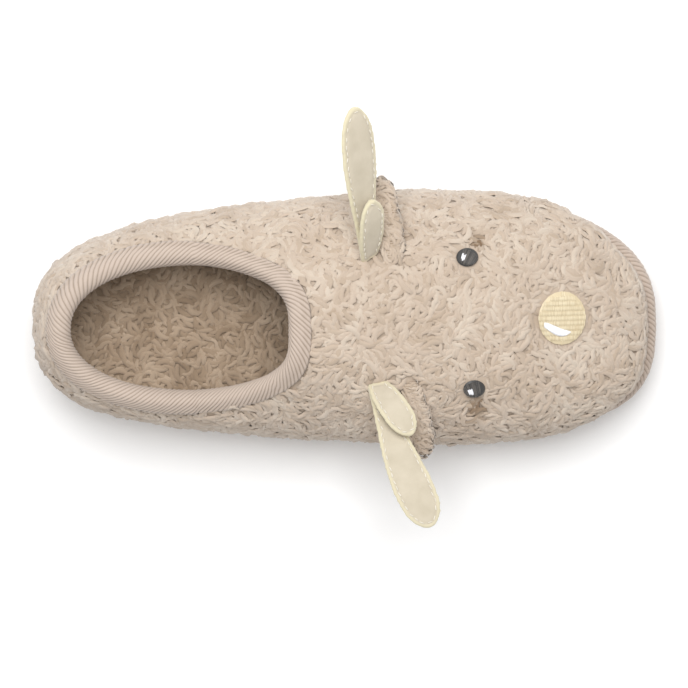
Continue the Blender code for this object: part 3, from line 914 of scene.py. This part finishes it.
def band_tape():
    """The tape wrapped round the sole."""
    low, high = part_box("midsole_band")
    centre = (low + high) / 2
    depth = 7 * MM
    cores, heads = [], []
    for out, points in radial_sections("midsole_band", centre, 160):
        reach = max((p - centre).dot(out) for p in points)
        near = [p for p in points if (p - centre).dot(out) > reach - 0.5 * depth]
        z = (min(p.z for p in near) + max(p.z for p in near)) / 2
        core = centre + out * (reach - depth)
        core.z = z
        cores.append(core[:])
        heads.append(out[:])
    cores, heads = np.array(cores), np.array(heads)
    rows = 14

    def slant_at(places):
        return np.full(len(places), BAND_RIB_SLANT)

    surface, normals, wave, _ = ribbed_tape(
        "midsole_band", cores, heads, math.radians(90), rows, slant_at
    )
    from_middle = surface[:, rows // 2, :2] - np.array(centre[:2])
    outward = np.sign((normals[:, rows // 2, :2] * from_middle).sum(axis=1).mean())
    rings = surface + normals * outward * (wave * RIB_HEIGHT)[:, :, None]
    core = (surface[:, 0] + surface[:, -1]) / 2
    rings = np.concatenate([rings, core[:, None]], axis=1)
    # The heights also set the tape's painted shade: grooves and the core row darker
    heights = np.concatenate(
        [np.repeat(0.15 + 0.85 * wave, rows, axis=1), np.zeros((len(rings), 1))], axis=1
    )
    mesh = grid_mesh("band_tape", rings, heights)
    finish_piece("band_tape", mesh, TAPE, "rib_tape", "midsole_band")


THREADS = [shape_arrays(*tapered_tube(6, 4, 0.5, lambda t: 0.0, 0.0))]


def lay_threads(name, ends, widths, seed, material, slot):
    """Short straight stitches between pairs of places, each with its surface's normal."""
    rng = np.random.default_rng(seed)
    axes, origins = [], []
    for (start, end, normal), width in zip(ends, widths):
        run = end - start
        side = normal.cross(run).normalized()
        axes.append((run, side * width, normal * width))
        origins.append((start + end) / 2)
    shades = rng.random(len(origins))
    picks = np.zeros(len(origins), dtype=int)
    mesh = joined_copies(name, THREADS, picks, np.array(origins), np.array(axes), shades)
    return finish_piece(name, mesh, material, slot)


def on_patch(node, x, y):
    """Top place and normal of an embroidered patch at a plan place, or None beside it."""
    hit, normal, _, _ = TREES[node].ray_cast(Vector((x, y, 0.2)), Vector((0, 0, -1)))
    return (hit, normal) if hit is not None else None


def nose_embroidery():
    """Rows of filling stitches across the foot, shifted like bricks, and a white satin crescent."""
    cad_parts["nose"].data.materials[0] = CREAM_THREAD
    middle = PATCHES["nose"]
    low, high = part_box("nose")
    half_x, half_y = (high.x - low.x) / 2, (high.y - low.y) / 2
    cream, white = [], []
    columns = int(2 * half_x / THREAD_WIDTH)
    for i in range(columns):
        x = middle.x - half_x + (i + 0.5) * THREAD_WIDTH
        reach = half_y * math.sqrt(max(0.0, 1 - ((x - middle.x) / half_x) ** 2))
        shift = (i % 3) / 3 * NOSE_STITCH_LENGTH * 0.35
        rows = int(2 * half_y / NOSE_STITCH_LENGTH) + 2
        for j in range(rows):
            start = middle.y - half_y - shift + j * NOSE_STITCH_LENGTH
            a = max(start, middle.y - reach)
            b = min(start + NOSE_STITCH_LENGTH, middle.y + reach)
            if b - a < 0.4 * MM:
                continue
            ends = [on_patch("nose", x, y) for y in (a + 0.02 * MM, b - 0.02 * MM)]
            if None in ends:
                continue
            lift = ends[0][1] * 0.1 * MM
            cream.append((ends[0][0] + lift, ends[1][0] + lift, ends[0][1]))
    steps = 30
    for i in range(steps):
        share = (i + 0.5) / steps
        x = middle.x - 8.0 * MM + share * 11.5 * MM
        centre_y = middle.y - 2.6 * MM - 3.6 * MM * math.sin(math.pi * 0.62 * share) ** 1.2
        half = 1.9 * MM * math.sin(math.pi * min(1.0, 0.12 + 0.88 * share)) ** 0.6
        ends = [on_patch("nose", x, centre_y + s * half) for s in (-1, 1)]
        if None in ends:
            continue
        lift = ends[0][1] * 0.45 * MM
        white.append((ends[0][0] + lift, ends[1][0] + lift, ends[0][1]))
    widths = [1.1 * THREAD_WIDTH] * len(cream)
    lay_threads("nose_stitches", cream, widths, SEED + 20, CREAM_THREAD, "cream_thread")
    widths = [1.2 * THREAD_WIDTH] * len(white)
    lay_threads("nose_highlight", white, widths, SEED + 21, WHITE_THREAD, "cream_thread")


def eye_embroidery(node, tilt):
    """Satin stitches across a tilted oval, with a white glint on the heel side."""
    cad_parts[node].data.materials[0] = GREY_THREAD
    middle = PATCHES[node]
    long_way = Vector((math.cos(tilt), math.sin(tilt), 0))
    short_way = Vector((-math.sin(tilt), math.cos(tilt), 0))
    rng = np.random.default_rng(SEED + 30)
    grey, white = [], []
    count = int(2 * EYE_LONG_HALF / (0.8 * THREAD_WIDTH))
    for i in range(count):
        u = 2 * (i + 0.5) / count - 1
        reach = EYE_SHORT_HALF * math.sqrt(1 - u * u)
        fan = 0.25 * u
        across = (short_way + long_way * fan).normalized()
        ends = []
        for s in (-1, 1):
            place = middle + long_way * EYE_LONG_HALF * u + across * s * reach * rng.uniform(0.86, 1.0)
            ends.append(on_patch(node, place.x, place.y))
        if None in ends:
            continue
        lift = ends[0][1] * 0.2 * MM
        grey.append((ends[0][0] + lift, ends[1][0] + lift, ends[0][1]))
        if -0.62 < u < -0.2:
            a = ends[0][0].lerp(ends[1][0], 0.18) + ends[0][1] * 0.5 * MM
            b = ends[0][0].lerp(ends[1][0], 0.62) + ends[0][1] * 0.5 * MM
            white.append((a, b, ends[0][1]))
    widths = [THREAD_WIDTH] * len(grey)
    lay_threads(f"{node}_stitches", grey, widths, SEED + 31, GREY_THREAD, "grey_thread")
    widths = [THREAD_WIDTH] * len(white)
    lay_threads(f"{node}_glint", white, widths, SEED + 32, WHITE_THREAD, "grey_thread")


def felt_antler(node, face):
    """A soft felt antler with a sunk seam of white stitches along its edge."""
    mesh = to_mesh(node, node_copy(node))
    mesh = with_modifier(mesh, "REMESH", mode="VOXEL", voxel_size=FELT_VOXEL, use_smooth_shade=True)
    shape = bmesh.new()
    shape.from_mesh(mesh)
    for _ in range(4):
        bmesh.ops.smooth_vert(
            shape, verts=shape.verts, factor=0.5, use_axis_x=True, use_axis_y=True, use_axis_z=True
        )
    shape.normal_update()
    face = Vector(face).normalized()
    rim = [vert for vert in shape.verts if abs(vert.normal.dot(face)) < 0.3]
    near = kdtree.KDTree(len(rim))
    for i, vert in enumerate(rim):
        near.insert(vert.co, i)
    near.balance()
    inset = {vert: near.find(vert.co)[2] for vert in shape.verts}
    stitches = []
    for edge in shape.edges:
        a, b = edge.verts
        if a.normal.dot(face) < 0.45:
            continue
        low, high = sorted((inset[a], inset[b]))
        if not low <= FELT_STITCH_INSET < high:
            continue
        place = (a.co + b.co) / 2
        normal = (a.normal + b.normal).normalized()
        nearest = near.find(place)[0]
        run = normal.cross(place - nearest).normalized()
        if distance_to(("upper",), place) < 3 * MM:
            continue
        if all((place - other[0]).length > 1.25 * FELT_STITCH_LENGTH for other in stitches):
            stitches.append((place.copy(), run, normal))
    for vert in shape.verts:
        if vert.normal.dot(face) > 0.45:
            sunk = math.exp(-(((inset[vert] - FELT_STITCH_INSET) / (0.55 * MM)) ** 2))
            vert.co -= vert.normal * 0.35 * MM * sunk
    layer = shape.loops.layers.uv.new("tuft")
    for each in shape.faces:
        for loop in each.loops:
            loop[layer].uv = (min(1.0, (inset[loop.vert] / FELT_STITCH_INSET) ** 2), 0.5)
    mesh = to_mesh(f"{node}_felt", shape)
    finish_piece(f"{node}_felt", mesh, FELT, "felt", node)
    ends = []
    for place, run, normal in stitches:
        half = run * FELT_STITCH_LENGTH * 0.5
        sit = place - normal * 0.12 * MM
        ends.append((sit - half, sit + half, normal))
    lay_threads(f"{node}_seam", ends, [0.55 * MM] * len(ends), SEED + 40, FELT_THREAD, "felt")


def fleece_ear(node, seed):
    """An ear of the same fleece, bare where it meets the upper and its antler."""
    mesh = to_mesh(node, node_copy(node))
    mesh = with_modifier(mesh, "REMESH", mode="VOXEL", voxel_size=1.0 * MM, use_smooth_shade=True)
    mesh.uv_layers.new(name="tuft")
    piece = finish_piece(f"{node}_backing", mesh, PILE, "fleece", node)
    antler = node.replace("ear", "antler")

    def wanted(place, normal):
        return distance_to(("upper",), place) > 0.8 * MM and distance_to((antler,), place) > 1.5 * MM

    places, normals = scatter(piece.data, EAR_CURL_SPACING, seed, wanted)
    mesh = grow_curls(f"{node}_curls", places, normals, EAR_CURL_LENGTH, seed + 1, unpressed, -0.2 * MM)
    finish_piece(f"{node}_curls", mesh, PILE, "fleece")


def floor_and_light():
    """A white board lit softly from the outer side."""
    shape = bmesh.new()
    bmesh.ops.create_grid(shape, x_segments=1, y_segments=1, size=3.0)
    floor = bpy.data.objects.new("floor", to_mesh("floor", shape, smooth=False))
    bpy.context.scene.collection.objects.link(floor)
    made, _, shader = new_material("painted board, matt white")
    shader.inputs["Base Color"].default_value = colour("#FAFAFA")
    shader.inputs["Roughness"].default_value = 0.9
    shader.inputs["Specular IOR Level"].default_value = 0.1
    floor.data.materials.append(made)
    world = bpy.data.worlds.new("studio")
    bpy.context.scene.world = world
    world.use_nodes = True
    world.node_tree.nodes["Background"].inputs["Color"].default_value = (1.0, 1.0, 1.0, 1.0)
    world.node_tree.nodes["Background"].inputs["Strength"].default_value = SKY_STRENGTH
    lamp = bpy.data.lights.new("key", "AREA")
    lamp.size = KEY_SIZE
    lamp.energy = KEY_POWER
    holder = bpy.data.objects.new("key", lamp)
    holder.location = KEY_PLACE
    aim = Vector(KEY_AIM) - Vector(KEY_PLACE)
    holder.rotation_euler = aim.to_track_quat("-Z", "Y").to_euler()
    bpy.context.scene.collection.objects.link(holder)


def camera():
    """The photo looks straight down but for a small lean of the camera to the outer side."""
    lens = bpy.data.cameras.new("camera")
    lens.sensor_width = SENSOR_WIDTH
    lens.lens = SENSOR_WIDTH * CAMERA_DISTANCE / FRAME_WIDTH
    holder = bpy.data.objects.new("camera", lens)
    away = Vector((0, math.sin(CAMERA_LEAN), math.cos(CAMERA_LEAN)))
    holder.location = Vector(CAMERA_TARGET) + away * CAMERA_DISTANCE
    holder.rotation_euler = (-CAMERA_LEAN, 0, 0)
    bpy.context.scene.collection.objects.link(holder)
    bpy.context.scene.camera = holder


bpy.context.scene.view_settings.view_transform = "Standard"
camera()
floor_and_light()
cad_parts["outsole"].data.materials[0] = RUBBER
pile_pieces(upper_backing())
footbed()
collar_tape()
band_tape()
felt_antler("antler_outer", OUTER_ANTLER_FACE)
felt_antler("antler_inner", INNER_ANTLER_FACE)
fleece_ear("ear_outer", SEED + 50)
fleece_ear("ear_inner", SEED + 60)
nose_embroidery()
eye_embroidery("eye_outer", OUTER_EYE_TILT)
eye_embroidery("eye_inner", INNER_EYE_TILT)
